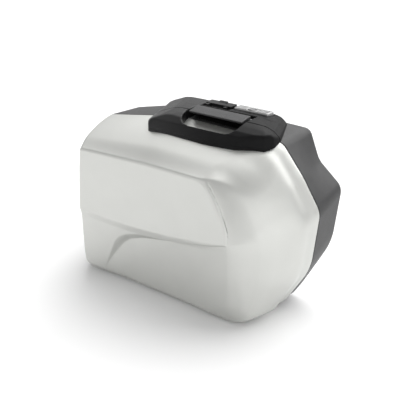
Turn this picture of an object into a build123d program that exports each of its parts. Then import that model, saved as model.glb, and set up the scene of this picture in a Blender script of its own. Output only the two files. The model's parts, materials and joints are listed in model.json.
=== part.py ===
"""Motorcycle side case: a rigid dark base that clips to the bike and a painted lid that swings outward.

Units are millimetres. The origin is the centre of the case's footprint on the ground, +X runs along
the length of the case towards its rounded nose, +Y points at the motorcycle and +Z is up.
The two halves meet in the vertical seam plane y = SEAM_Y and turn about a hinge line under the rim.
"""

from build123d import *
from math import atan2, cos, pi, sin, sqrt
import os

# Driving dimensions of the two halves
LENGTH = 570.0
LID_DEPTH = 136.0
BASE_DEPTH = 100.0
SEAM_Y = (LID_DEPTH - BASE_DEPTH) / 2.0
WALL = 3.0
GAP = 0.3
LID_ROUND = 16.0
BASE_ROUND = 12.0
BUFFER_PROUD = 3.0
SHELL_DEPTH = BASE_DEPTH - BUFFER_PROUD
BACK_Y = SEAM_Y + SHELL_DEPTH
RIM_Z = 9.0
SOLE_Z = 3.0
RIM_FLAT = 26.0
SOLE_START = 38.0
SOLE_END = 85.0
LID_TOE_RISE = 13.0

# Outline corners as (x, z, corner radius), counted round from the bottom left
SEAM_OUTLINE = [
    (-258, RIM_Z, 34),
    (-286, 130, 150),
    (-279, 270, 60),
    (-243, 325, 16),
    (-40, 358, 300),
    (200, 352, 26),
    (246, 298, 200),
    (286, 238, 40),
    (275, 118, 130),
    (214, RIM_Z, 60),
]
FRONT_OUTLINE = [
    (-217, SOLE_Z, 10),
    (-213, 130, 150),
    (-207, 245, 60),
    (-204, 290, 8),
    (-20, 298, 300),
    (124, 299, 14),
    (166, 254, 200),
    (200, 192, 40),
    (195, 110, 130),
    (184, SOLE_Z, 60),
]
BACK_OUTLINE = [
    (-240, SOLE_Z, 30),
    (-280, 130, 150),
    (-276, 262, 60),
    (-248, 320, 18),
    (-40, 366, 300),
    (205, 358, 18),
    (228, 300, 30),
    (281, 258, 26),
    (270, 140, 150),
    (202, SOLE_Z, 50),
]
BOTTOM_CORNERS = (0, 9)
LEFT_CORNERS = (1, 2, 3)
RIGHT_CORNERS = (5, 6, 7, 8)
LID_STATIONS = [GAP, 20, 26, 38, 60, 85, 104, 120, 129, 134, 136]
BASE_STATIONS = [GAP, 5, 12, 26, 38, 85, 93, 97]
BACK_TAPER_Z = 130.0
BACK_TAPER = 30.0

# Rim frames and seal, with depths counted from the seam
FRAME_WIDTH = 5.0
FRAME_DEPTH = 20.0
SEAL_WIDTH = 4.0
SEAL_DEPTH = 5.0
CHANNEL_WIDTH = 8.0
CHANNEL_DEPTH = 12.0

# Handle: the block across the top of the case, its front on the lid and the rest on the base
HANDLE_WALL = 3.0
HANDLE_LEFT = -84.0
HANDLE_RIGHT = 196.0
HANDLE_SKEW = 0.42
HANDLE_TOP = 378.0
HANDLE_DROP = 5.0
HANDLE_FOOT = 318.0
HANDLE_FRONT = SEAM_Y - 59.0
HANDLE_BACK = SEAM_Y + 88.0
HOLE_LEFT = -5.0
HOLE_RIGHT = 128.0
HOLE_FRONT = SEAM_Y - 38.0
BAY_BACK = SEAM_Y + 34.0
WELL_FRONT = SEAM_Y + 13.0
WELL_BACK = SEAM_Y + 33.0
WELL_FLOOR = 331.0
WELL_TOP = 362.0
WELL_WALL = 2.5
BAR_LEFT = -3.5
BAR_RIGHT = 126.5
BAR_FRONT = SEAM_Y - 15.0
BAR_BACK = SEAM_Y + 30.0
BAR_BOTTOM = 366.0
BAR_TOP = 377.0
GRIP_ROD_R = 2.0
GRIP_ROD_Y = SEAM_Y + 26.0
GRIP_ROD_Z = 371.0
SPRING_NOTCH = (42.0, 82.0)
COIL_WIRE_R = 0.5
COIL_TURNS = 9

# Latch: thumb lever, cross shaft, hooks and strikers, and the key lock
LEVER_LEFT = -18.0
LEVER_RIGHT = 46.0
LEVER_FRONT = SEAM_Y + 52.0
LEVER_BACK = SEAM_Y + 74.0
LEVER_TOP = 379.5
LEVER_THICK = 3.5
LEVER_BAY = (LEVER_LEFT - 2.0, LEVER_RIGHT + 2.0, SEAM_Y + 40.0, SEAM_Y + 76.0)
SHAFT_Y = SEAM_Y + 45.0
SHAFT_Z = 367.3
SHAFT_R = 3.0
HOOK_XS = (-36.0, 140.0)
HOOK_THICK = 4.0
SLOT_FOOT = 357.0
SLOT_TOP = 373.0
HOOK_TIP_Y = SEAM_Y - 15.0
HOOK_TIP_Z = 362.8
HOOK_BACK_Z = 366.3
HOOK_TOOTH_Z = 359.0
STRIKER_Y = SEAM_Y - 9.0
STRIKER_Z = 356.2
STRIKER_R = 2.0
STRIKER_SPAN = 14.0
STRIKER_FOOT = 330.0
LOCK_LEFT = 52.0
LOCK_RIGHT = 132.0
LOCK_FRONT = SEAM_Y + 52.0
LOCK_BACK = SEAM_Y + 76.0
LOCK_BOTTOM = 367.0
LOCK_TOP = 380.5
LOCK_X = 88.0
LOCK_Y = SEAM_Y + 64.0
LOCK_R = 8.0

# Lid hinges
HINGE_XS = (-150.0, 90.0)
HINGE_Z = 5.2
HINGE_LENGTH = 60.0
KNUCKLE_R = 3.6
HINGE_PIN_R = 1.75
LEAF_THICK = 1.7
LEAF_REACH = 22.0

# Carrier side
SOCKET_XS = (-120.0, 120.0)
SOCKET_Z = 185.0
SOCKET_R = 10.0
SOCKET_WALL = 4.0
SOCKET_DEPTH = 14.0
CLAW_X = 30.0
CLAW_WIDTH = 36.0
CLAW_Y = BACK_Y - 10.0
CLAW_Z = 322.0
CLAW_ROD_R = 2.5
PLATE_THICK = 1.5
PLATE_HALF = 150.0
PLATE_LOW = 150.0
PLATE_HIGH = 324.0
CASE_DEPTH = 22.0
BUFFER_R = 11.0
BUFFER_PLACES = ((-200.0, 160.0), (200.0, 160.0), (-200.0, 280.0), (200.0, 280.0))

# Luggage strap inside the base
STRAP_WIDTH = 25.0
STRAP_THICK = 1.6
STRAP_REACH = 210.0
STRAP_Z = 255.0
BUCKLE_HALF = 26.0

# Small parts
CAM_REACH = 14.0
CAM_THICK = 1.7
RUN_CLEAR = 0.05
SCREW_HEAD_R = 4.0
SCREW_R = 1.9
HEAD_HEIGHT = 1.3
FOOT_XS = (-180.0, 105.0)
FOOT_DEPTH = 52.0
FOOT_LENGTH = 46.0
FOOT_WIDTH = 14.0
FOOT_CORNER = 5.0


def write(part, label):
    """Label a finished piece and write it under its node name."""
    part.label = label
    export_step(part, f"parts/{label}.step")


def bottom_height(depth, toe_rise):
    """Height of the underside at a depth from the seam: hinge channel, sole, then the rounded toe."""
    if depth <= RIM_FLAT:
        return RIM_Z
    if depth <= SOLE_START:
        blend = (depth - RIM_FLAT) / (SOLE_START - RIM_FLAT)
        return RIM_Z + (SOLE_Z - RIM_Z) * blend
    if depth <= SOLE_END:
        return SOLE_Z
    return SOLE_Z + toe_rise * ((depth - SOLE_END) / (LID_DEPTH - SOLE_END)) ** 2


def corner_inset(depth, full_depth, radius):
    """How far the outline has drawn in at a depth inside the rounded end of a shell."""
    into = depth - (full_depth - radius)
    if into <= 0:
        return 0.0
    return radius * (1.0 - sqrt(max(0.0, 1.0 - (into / radius) ** 2)))


def lid_corners(depth):
    """Outline corners of the lid at a depth in front of the seam."""
    t = max(0.0, depth) / LID_DEPTH
    corners = []
    for i, (seam, front) in enumerate(zip(SEAM_OUTLINE, FRONT_OUTLINE)):
        pull = t
        if i in RIGHT_CORNERS or i == BOTTOM_CORNERS[1]:
            pull = t**2
        elif i in LEFT_CORNERS or i == BOTTOM_CORNERS[0]:
            pull = t**1.8
        x = seam[0] + (front[0] - seam[0]) * pull
        z = seam[1] + (front[1] - seam[1]) * t
        if i in BOTTOM_CORNERS:
            z = bottom_height(depth, LID_TOE_RISE)
        corners.append((x, z, seam[2] + (front[2] - seam[2]) * t))
    return corners


def base_corners(depth):
    """Outline corners of the base at a depth behind the seam."""
    t = max(0.0, depth) / SHELL_DEPTH
    corners = []
    for i, (seam, back) in enumerate(zip(SEAM_OUTLINE, BACK_OUTLINE)):
        x = seam[0] + (back[0] - seam[0]) * t
        z = seam[1] + (back[1] - seam[1]) * t
        if i in BOTTOM_CORNERS:
            z = bottom_height(depth, 0.0)
        corners.append((x, z, seam[2] + (back[2] - seam[2]) * t))
    return corners


def inset(corners, distance):
    """Move every side of an outline inwards by a distance and shrink its corner radii to match."""
    moved = []
    count = len(corners)
    for i in range(count):
        (ax, az, _), (bx, bz, radius), (cx, cz, _) = (
            corners[i - 1],
            corners[i],
            corners[(i + 1) % count],
        )
        before = atan2(bz - az, bx - ax)
        after = atan2(cz - bz, cx - bx)
        turn = (after - before + pi) % (2 * pi) - pi
        middle = before + turn / 2
        reach = distance / cos(turn / 2)
        convex = turn < 0
        moved.append(
            (
                bx + reach * sin(middle),
                bz - reach * cos(middle),
                max(1.5, radius - distance) if convex else radius + distance,
            )
        )
    return moved


def outline_face(corners, y):
    """One rounded outline as a face in the plane at y, ready for a loft."""
    with BuildSketch(Plane.XZ.offset(-y)) as outline:
        with BuildLine():
            points = [(x, z) for x, z, _ in corners]
            FilletPolyline(points, radius=[r for _, _, r in corners], close=True)
        make_face()
    return outline.sketch.face()


def lid_loft(stations, inward, mode=Mode.ADD):
    """Loft the lid's outline through depths in front of the seam, drawn in by a distance."""
    sections = []
    for depth in stations:
        drawn = inward + corner_inset(depth, LID_DEPTH, LID_ROUND)
        sections.append(outline_face(inset(lid_corners(depth), drawn), SEAM_Y - depth))
    loft(sections, ruled=True, mode=mode)


def base_loft(stations, inward, mode=Mode.ADD):
    """Loft the base's outline through depths behind the seam, drawn in by a distance."""
    sections = []
    for depth in stations:
        drawn = inward + corner_inset(depth, SHELL_DEPTH, BASE_ROUND)
        sections.append(outline_face(inset(base_corners(depth), drawn), SEAM_Y + depth))
    loft(sections, ruled=True, mode=mode)


def cut_box(x0, x1, y0, y1, z0, z1, mode=Mode.SUBTRACT):
    """A box between two corners, taken from or added to the part being built."""
    with Locations(((x0 + x1) / 2, (y0 + y1) / 2, (z0 + z1) / 2)):
        Box(x1 - x0, y1 - y0, z1 - z0, mode=mode)


def rod(x0, x1, y, z, radius, mode=Mode.ADD):
    """A round bar along X between two stations."""
    with Locations((((x0 + x1) / 2), y, z)):
        Cylinder(radius, x1 - x0, rotation=(0, 90, 0), mode=mode)


def back_taper(offset):
    """Cut the back of the base on its slope below BACK_TAPER_Z, offset towards the seam."""
    y_back = BACK_Y - offset
    with BuildSketch(Plane.YZ) as slope:
        with BuildLine():
            Polyline(
                (y_back, BACK_TAPER_Z),
                (y_back + 40, BACK_TAPER_Z + 40),
                (y_back + 40, -20),
                (y_back - BACK_TAPER * (BACK_TAPER_Z + 20) / BACK_TAPER_Z, -20),
                close=True,
            )
        make_face()
    extrude(slope.sketch, amount=LENGTH, both=True, mode=Mode.SUBTRACT)


def handle_block(shrink):
    """The handle's outer form: its plan, long section and cross section meet in one solid."""
    with BuildSketch(Plane.XY.offset(HANDLE_FOOT)) as plan:
        with BuildLine():
            FilletPolyline(
                (HANDLE_LEFT + 3, SEAM_Y - 53),
                (60, HANDLE_FRONT),
                (HANDLE_RIGHT - 10, SEAM_Y - 31),
                (HANDLE_RIGHT, SEAM_Y + 2),
                (HANDLE_RIGHT + 3, SEAM_Y + 48),
                (HANDLE_RIGHT - 42, HANDLE_BACK),
                (HANDLE_LEFT - 66, HANDLE_BACK),
                (HANDLE_LEFT - 29, SEAM_Y),
                radius=[10, 250, 10, 30, 50, 40, 14, 60],
                close=True,
            )
        make_face()
        offset(amount=-shrink, kind=Kind.INTERSECTION, mode=Mode.REPLACE)
    left = HANDLE_LEFT - 29 + shrink
    right = HANDLE_RIGHT - shrink
    top = HANDLE_TOP - shrink
    with BuildSketch(Plane.XZ.offset(-SEAM_Y)) as long_section:
        with BuildLine():
            FilletPolyline(
                (left, HANDLE_FOOT - 5),
                (left, 349 - shrink),
                (left + 18, 358 - shrink),
                (left + 53, 371 - shrink),
                (left + 90, top),
                (right - 46, top),
                (right - 16, 370 - shrink),
                (right + 4, 352 - shrink),
                (right + 4, HANDLE_FOOT - 5),
                radius=[2, 8, 60, 90, 90, 50, 20, 8, 2],
                close=True,
            )
        make_face()
    with BuildSketch(Plane.YZ) as cross_section:
        with BuildLine():
            FilletPolyline(
                (HANDLE_FRONT - 1 + shrink, HANDLE_FOOT - 5),
                (HANDLE_FRONT + 1 + shrink, 334),
                (SEAM_Y - 47 + shrink, 359 - shrink),
                (SEAM_Y - 35 + shrink, 367 - shrink),
                (SEAM_Y - 4, top - 2),
                (SEAM_Y + 34, top),
                (HANDLE_BACK - shrink, top - HANDLE_DROP),
                (HANDLE_BACK - shrink, HANDLE_FOOT - 5),
                radius=[1, 12, 10, 16, 80, 80, 5, 1],
                close=True,
            )
        make_face()
    extrude(plan.sketch, amount=HANDLE_TOP - HANDLE_FOOT + 10)
    extrude(
        long_section.sketch,
        amount=LENGTH,
        dir=(-HANDLE_SKEW, 1, 0),
        both=True,
        mode=Mode.INTERSECT,
    )
    extrude(cross_section.sketch, amount=LENGTH, both=True, mode=Mode.INTERSECT)


os.makedirs("parts", exist_ok=True)

# ---------------------------------------------------------------- lid: painted shell and rim frame
with BuildPart() as lid_outer:
    lid_loft(LID_STATIONS, 0.0)

with BuildPart() as lid_shell:
    add(lid_outer.part)
    lid_loft([-1.0] + LID_STATIONS[:-2] + [LID_DEPTH - WALL], WALL, mode=Mode.SUBTRACT)
write(lid_shell.part, "lid_shell")

with BuildPart() as lid_frame:
    lid_loft([GAP, FRAME_DEPTH], WALL)
    lid_loft([-1.0, GAP, FRAME_DEPTH + 1], WALL + FRAME_WIDTH, mode=Mode.SUBTRACT)
write(lid_frame.part, "lid_frame")

# ---------------------------------------------------------------- base: shell, seal and its channel
with BuildPart() as base_outer:
    base_loft(BASE_STATIONS, 0.0)
    back_taper(0.0)

with BuildPart() as base_inner:
    base_loft([-1.0] + BASE_STATIONS[:-1] + [SHELL_DEPTH - WALL], WALL)
    back_taper(WALL)

with BuildPart() as base_shell:
    add(base_outer.part)
    add(base_inner.part, mode=Mode.SUBTRACT)
    # finger well in the top
    cut_box(
        HOLE_LEFT,
        HOLE_RIGHT,
        WELL_FRONT,
        WELL_BACK,
        WELL_FLOOR - WELL_WALL,
        HANDLE_TOP,
    )
    # carrier claw and sockets in the back
    cut_box(
        CLAW_X - CLAW_WIDTH / 2 - 3,
        CLAW_X + CLAW_WIDTH / 2 + 3,
        BACK_Y - WALL - 1,
        BACK_Y + 1,
        CLAW_Z - 26,
        CLAW_Z + 12,
    )
    for socket_x in SOCKET_XS:
        with Locations((socket_x, BACK_Y - WALL, SOCKET_Z)):
            Cylinder(
                SOCKET_R + SOCKET_WALL,
                4 * WALL,
                rotation=(90, 0, 0),
                mode=Mode.SUBTRACT,
            )
write(base_shell.part, "base_shell")

with BuildPart() as seal_channel:
    base_loft([SEAL_DEPTH, CHANNEL_DEPTH], WALL)
    base_loft([SEAL_DEPTH - 1, CHANNEL_DEPTH + 1], WALL + CHANNEL_WIDTH, mode=Mode.SUBTRACT)
write(seal_channel.part, "seal_channel")

with BuildPart() as rim_seal:
    base_loft([GAP / 3, SEAL_DEPTH], WALL + 0.6)
    base_loft([-1.0, SEAL_DEPTH + 1], WALL + 0.6 + SEAL_WIDTH, mode=Mode.SUBTRACT)
write(rim_seal.part, "rim_seal")

# ---------------------------------------------------------------- handle block, front and back
with BuildPart() as handle_outer:
    handle_block(0.0)

with BuildPart() as handle_hollow:
    handle_block(HANDLE_WALL)
    # the hand hole and the grip bay keep their own walls
    cut_box(
        HOLE_LEFT - HANDLE_WALL,
        HOLE_RIGHT + HANDLE_WALL,
        HOLE_FRONT - HANDLE_WALL,
        BAY_BACK + HANDLE_WALL,
        HANDLE_FOOT - 10,
        HANDLE_TOP + 10,
    )
    # a wall each side of the split at the seam
    cut_box(
        -LENGTH / 2,
        LENGTH / 2,
        SEAM_Y - GAP - HANDLE_WALL,
        SEAM_Y + GAP + HANDLE_WALL,
        HANDLE_FOOT - 10,
        HANDLE_TOP + 10,
    )

with BuildPart() as handle_front:
    add(handle_outer.part)
    add(handle_hollow.part, mode=Mode.SUBTRACT)
    split(bisect_by=Plane.XZ.offset(-(SEAM_Y - GAP)), keep=Keep.TOP)
    add(lid_outer.part, mode=Mode.SUBTRACT)
    cut_box(
        HOLE_LEFT,
        HOLE_RIGHT,
        HOLE_FRONT,
        SEAM_Y + 10,
        HANDLE_FOOT - 10,
        HANDLE_TOP + 10,
    )
    for hook_x in HOOK_XS:
        cut_box(
            hook_x - HOOK_THICK,
            hook_x + HOOK_THICK,
            SEAM_Y - 10,
            SEAM_Y + 1,
            SLOT_FOOT,
            SLOT_TOP,
        )
write(handle_front.part, "handle_front")

with BuildPart() as handle_housing:
    add(handle_outer.part)
    add(handle_hollow.part, mode=Mode.SUBTRACT)
    split(bisect_by=Plane.XZ.offset(-(SEAM_Y + GAP)), keep=Keep.BOTTOM)
    add(base_outer.part, mode=Mode.SUBTRACT)
    cut_box(
        HOLE_LEFT,
        HOLE_RIGHT,
        SEAM_Y - 1,
        BAY_BACK,
        HANDLE_FOOT - 10,
        HANDLE_TOP + 10,
    )
    # lever bay and lock seat open the top skin
    cut_box(*LEVER_BAY, HANDLE_TOP - 12, HANDLE_TOP + 10)
    cut_box(
        LOCK_LEFT,
        LOCK_RIGHT,
        LOCK_FRONT,
        LOCK_BACK,
        LOCK_BOTTOM,
        HANDLE_TOP + 10,
    )
    for hook_x in HOOK_XS:
        cut_box(
            hook_x - HOOK_THICK,
            hook_x + HOOK_THICK,
            SEAM_Y - 1,
            SEAM_Y + 10,
            SLOT_FOOT,
            SLOT_TOP + 1,
        )
    rod(HOLE_LEFT - 20, HOLE_RIGHT + 20, GRIP_ROD_Y, GRIP_ROD_Z, GRIP_ROD_R, Mode.SUBTRACT)
write(handle_housing.part, "handle_housing")

with BuildPart() as finger_well:
    cut_box(
        HOLE_LEFT,
        HOLE_RIGHT,
        WELL_FRONT,
        WELL_BACK,
        WELL_FLOOR - WELL_WALL,
        WELL_TOP,
        Mode.ADD,
    )
    cut_box(
        HOLE_LEFT + WELL_WALL,
        HOLE_RIGHT - WELL_WALL,
        WELL_FRONT + WELL_WALL,
        WELL_BACK - WELL_WALL,
        WELL_FLOOR,
        WELL_TOP + 1,
    )
write(finger_well.part, "finger_well")

# ---------------------------------------------------------------- grip bar, its rod and spring
with BuildPart() as grip_bar:
    cut_box(BAR_LEFT, BAR_RIGHT, BAR_FRONT, BAR_BACK, BAR_BOTTOM, BAR_TOP, Mode.ADD)
    bar_edges = grip_bar.edges().filter_by(Axis.X)
    fillet(bar_edges, radius=4.0)
    rod(BAR_LEFT - 5, BAR_RIGHT + 5, GRIP_ROD_Y, GRIP_ROD_Z, GRIP_ROD_R + RUN_CLEAR, Mode.SUBTRACT)
    # pocket under the rear edge for the spring
    cut_box(*SPRING_NOTCH, GRIP_ROD_Y - 8, BAR_BACK + 5, BAR_BOTTOM - 5, GRIP_ROD_Z + 4)
write(grip_bar.part, "grip_bar")

with BuildPart() as grip_rod:
    rod(HOLE_LEFT - 2.5, HOLE_RIGHT + 2.5, GRIP_ROD_Y, GRIP_ROD_Z, GRIP_ROD_R)
write(grip_rod.part, "grip_rod")

with BuildPart() as grip_spring:
    for turn in range(COIL_TURNS):
        coil_x = SPRING_NOTCH[0] + 6 + turn * 3.5
        with Locations((coil_x, GRIP_ROD_Y, GRIP_ROD_Z)):
            Torus(GRIP_ROD_R + 2 * COIL_WIRE_R + 0.3, COIL_WIRE_R, rotation=(0, 90, 0))
    coil_end = SPRING_NOTCH[0] + 6 + (COIL_TURNS - 1) * 3.5
    coil_low = GRIP_ROD_Z - GRIP_ROD_R - 2 * COIL_WIRE_R - 0.3
    # a leg along the bottom joins the turns
    cut_box(
        SPRING_NOTCH[0] + 6,
        coil_end,
        GRIP_ROD_Y - 0.4,
        GRIP_ROD_Y + 0.4,
        coil_low - 0.4,
        coil_low + 0.4,
        Mode.ADD,
    )
write(grip_spring.part, "grip_spring")

# ---------------------------------------------------------------- latch: shaft, lever and hooks
with BuildPart() as latch_shaft:
    rod(HOOK_XS[0] - 4, HOOK_XS[1] + 4, SHAFT_Y, SHAFT_Z, SHAFT_R)
write(latch_shaft.part, "latch_shaft")

with BuildPart() as thumb_lever:
    cut_box(
        LEVER_LEFT,
        LEVER_RIGHT,
        LEVER_FRONT,
        LEVER_BACK,
        LEVER_TOP - LEVER_THICK,
        LEVER_TOP,
        Mode.ADD,
    )
    fillet(thumb_lever.edges().filter_by(Axis.Z), radius=3.0)
    lever_middle = (LEVER_LEFT + LEVER_RIGHT) / 2
    with BuildSketch(Plane.YZ.offset(lever_middle)) as bump:
        with BuildLine():
            Polyline(
                (LEVER_BACK - 12, LEVER_TOP - 1),
                (LEVER_BACK - 4, LEVER_TOP + 2.5),
                (LEVER_BACK - 1, LEVER_TOP + 2.5),
                (LEVER_BACK - 1, LEVER_TOP - 1),
                close=True,
            )
        make_face()
    extrude(bump.sketch, amount=9, both=True)
    for web_x in (LEVER_LEFT + 10, LEVER_RIGHT - 10):
        cut_box(
            web_x - 3,
            web_x + 3,
            SHAFT_Y - 2,
            LEVER_FRONT + 4,
            SHAFT_Z + 1,
            LEVER_TOP - 1,
            Mode.ADD,
        )
        rod(web_x - 3, web_x + 3, SHAFT_Y, SHAFT_Z, SHAFT_R + 2.0)
    rod(LEVER_LEFT - 5, LEVER_RIGHT + 5, SHAFT_Y, SHAFT_Z, SHAFT_R, Mode.SUBTRACT)
write(thumb_lever.part, "thumb_lever")

for side, hook_x in zip(("left", "right"), HOOK_XS):
    with BuildPart() as latch_hook:
        with BuildSketch(Plane.YZ.offset(hook_x)) as hook_side:
            with BuildLine():
                Polyline(
                    (SHAFT_Y + 4.5, SHAFT_Z - 3.2),
                    (SHAFT_Y + 4.5, SHAFT_Z + 3.2),
                    (SHAFT_Y - 6, SHAFT_Z + 3.2),
                    (SEAM_Y, HOOK_BACK_Z),
                    (HOOK_TIP_Y, HOOK_TIP_Z),
                    (HOOK_TIP_Y + 1, HOOK_TOOTH_Z),
                    (HOOK_TIP_Y + 4.5, HOOK_TOOTH_Z),
                    (HOOK_TIP_Y + 5.5, HOOK_TIP_Z - 2),
                    (SEAM_Y, HOOK_BACK_Z - 4),
                    (SHAFT_Y - 6, SHAFT_Z - 3.2),
                    close=True,
                )
            make_face()
        extrude(hook_side.sketch, amount=HOOK_THICK / 2, both=True)
        rod(hook_x - 5, hook_x + 5, SHAFT_Y, SHAFT_Z, SHAFT_R, Mode.SUBTRACT)
    write(latch_hook.part, f"latch_hook_{side}")

    with BuildPart() as striker:
        rod(hook_x - STRIKER_SPAN / 2, hook_x + STRIKER_SPAN / 2, STRIKER_Y, STRIKER_Z, STRIKER_R)
        for leg in (-1, 1):
            leg_x = hook_x + leg * STRIKER_SPAN / 2
            cut_box(
                leg_x - 1.5,
                leg_x + 1.5,
                STRIKER_Y - 4,
                STRIKER_Y + 4,
                STRIKER_FOOT,
                STRIKER_Z + 2,
                Mode.ADD,
            )
        add(lid_outer.part, mode=Mode.SUBTRACT)
    write(striker.part, f"striker_{side}")

with BuildPart() as latch_spring:
    for turn in range(COIL_TURNS):
        coil_x = LEVER_RIGHT + 12 + turn * 3.5
        with Locations((coil_x, SHAFT_Y, SHAFT_Z)):
            Torus(SHAFT_R + 2 * COIL_WIRE_R + 0.3, COIL_WIRE_R, rotation=(0, 90, 0))
    latch_coil_end = LEVER_RIGHT + 12 + (COIL_TURNS - 1) * 3.5
    latch_coil_y = SHAFT_Y + SHAFT_R + 2 * COIL_WIRE_R + 0.3
    cut_box(
        LEVER_RIGHT + 12,
        latch_coil_end,
        latch_coil_y - 0.4,
        latch_coil_y + 0.4,
        SHAFT_Z - 0.4,
        SHAFT_Z + 0.4,
        Mode.ADD,
    )
write(latch_spring.part, "latch_spring")

# ---------------------------------------------------------------- key lock
with BuildPart() as lock_body:
    cut_box(LOCK_LEFT, LOCK_RIGHT, LOCK_FRONT, LOCK_BACK, LOCK_BOTTOM, LOCK_TOP, Mode.ADD)
    fillet(lock_body.edges().filter_by(Axis.Z), radius=3.0)
    fillet(lock_body.faces().sort_by(Axis.Z)[-1].edges(), radius=1.2)
    with Locations((LOCK_X, LOCK_Y, LOCK_TOP)):
        Cylinder(LOCK_R + RUN_CLEAR, 60, mode=Mode.SUBTRACT)
write(lock_body.part, "lock_body")

with BuildPart() as lock_plug:
    with Locations((LOCK_X, LOCK_Y, (LOCK_TOP + LOCK_BOTTOM) / 2)):
        Cylinder(LOCK_R, LOCK_TOP - LOCK_BOTTOM + 1.0)
    cut_box(LOCK_X - 4.5, LOCK_X + 4.5, LOCK_Y - 1.1, LOCK_Y + 1.1, LOCK_TOP - 6, LOCK_TOP + 5)
write(lock_plug.part, "lock_plug")

with BuildPart() as lock_cam:
    cut_box(
        LOCK_X - CAM_REACH,
        LOCK_X + 5,
        LOCK_Y - 4,
        LOCK_Y + 4,
        LOCK_BOTTOM - 0.5 - CAM_THICK,
        LOCK_BOTTOM - 0.5,
        Mode.ADD,
    )
    fillet(lock_cam.edges().filter_by(Axis.Z), radius=3.0)
write(lock_cam.part, "lock_cam")

# ---------------------------------------------------------------- lid hinges under the rim
for side, hinge_x in zip(("left", "right"), HINGE_XS):
    half = HINGE_LENGTH / 2
    third = HINGE_LENGTH / 6
    cut_back = KNUCKLE_R + 0.5
    with BuildPart() as base_leaf:
        rod(hinge_x - half, hinge_x + half, SEAM_Y, HINGE_Z, KNUCKLE_R)
        cut_box(
            hinge_x - half,
            hinge_x + half,
            SEAM_Y,
            SEAM_Y + LEAF_REACH,
            RIM_Z - LEAF_THICK,
            RIM_Z,
            Mode.ADD,
        )
        cut_box(
            hinge_x - third - 0.4,
            hinge_x + third + 0.4,
            SEAM_Y - cut_back,
            SEAM_Y + cut_back,
            0,
            RIM_Z + 1,
        )
        rod(hinge_x - half - 1, hinge_x + half + 1, SEAM_Y, HINGE_Z, HINGE_PIN_R, Mode.SUBTRACT)
    write(base_leaf.part, f"base_hinge_leaf_{side}")

    with BuildPart() as lid_leaf:
        rod(hinge_x - third, hinge_x + third, SEAM_Y, HINGE_Z, KNUCKLE_R)
        cut_box(
            hinge_x - third,
            hinge_x + third,
            SEAM_Y - LEAF_REACH,
            SEAM_Y,
            RIM_Z - LEAF_THICK,
            RIM_Z,
            Mode.ADD,
        )
        cut_box(
            hinge_x - half,
            hinge_x + half,
            SEAM_Y - LEAF_REACH,
            SEAM_Y - cut_back,
            RIM_Z - LEAF_THICK,
            RIM_Z,
            Mode.ADD,
        )
        rod(
            hinge_x - half - 1,
            hinge_x + half + 1,
            SEAM_Y,
            HINGE_Z,
            HINGE_PIN_R + RUN_CLEAR,
            Mode.SUBTRACT,
        )
    write(lid_leaf.part, f"lid_hinge_leaf_{side}")

    with BuildPart() as hinge_pin:
        rod(hinge_x - half, hinge_x + half, SEAM_Y, HINGE_Z, HINGE_PIN_R)
    write(hinge_pin.part, f"hinge_pin_{side}")

for owner, way in (("base", 1), ("lid", -1)):
    with BuildPart() as hinge_screws:
        for hinge_x in HINGE_XS:
            for step in (-1, 1):
                place = (hinge_x + step * HINGE_LENGTH / 3, SEAM_Y + way * LEAF_REACH * 0.7)
                with Locations((*place, RIM_Z - LEAF_THICK - HEAD_HEIGHT / 2)):
                    Cylinder(SCREW_HEAD_R * 0.8, HEAD_HEIGHT)
                with Locations((*place, RIM_Z - LEAF_THICK + 3.0)):
                    Cylinder(SCREW_R, 6.0)
    write(hinge_screws.part, f"{owner}_hinge_screws")

    with BuildPart() as feet:
        for foot_x in FOOT_XS:
            with BuildSketch(Plane.XY) as pad:
                with Locations((foot_x, SEAM_Y + way * FOOT_DEPTH)):
                    RectangleRounded(FOOT_LENGTH, FOOT_WIDTH, FOOT_CORNER)
            extrude(pad.sketch, amount=SOLE_Z)
    write(feet.part, f"{owner}_feet")

# ---------------------------------------------------------------- carrier side of the base
with BuildPart() as carrier_plate:
    with BuildSketch(Plane.XZ.offset(-BACK_Y)) as plate_outline:
        with Locations((0, (PLATE_LOW + PLATE_HIGH) / 2)):
            RectangleRounded(2 * PLATE_HALF, PLATE_HIGH - PLATE_LOW, 22)
        with Locations(*[(socket_x, SOCKET_Z) for socket_x in SOCKET_XS]):
            Circle(SOCKET_R + SOCKET_WALL, mode=Mode.SUBTRACT)
        with Locations((CLAW_X, CLAW_Z - 7)):
            Rectangle(CLAW_WIDTH + 6, 38, mode=Mode.SUBTRACT)
    extrude(plate_outline.sketch, amount=-PLATE_THICK)
write(carrier_plate.part, "carrier_plate")

for side, socket_x in zip(("left", "right"), SOCKET_XS):
    with BuildPart() as socket:
        mouth = BACK_Y + PLATE_THICK
        cup_depth = SOCKET_DEPTH + 3.0
        with Locations((socket_x, mouth - cup_depth / 2, SOCKET_Z)):
            Cylinder(SOCKET_R + SOCKET_WALL, cup_depth, rotation=(90, 0, 0))
        with Locations((socket_x, BACK_Y - WALL - 1.25, SOCKET_Z)):
            Cylinder(SOCKET_R + SOCKET_WALL + 6, 2.5, rotation=(90, 0, 0))
        with Locations((socket_x, mouth - SOCKET_DEPTH / 2, SOCKET_Z)):
            Cylinder(SOCKET_R, SOCKET_DEPTH, rotation=(90, 0, 0), mode=Mode.SUBTRACT)
    write(socket.part, f"carrier_socket_{side}")

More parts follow.
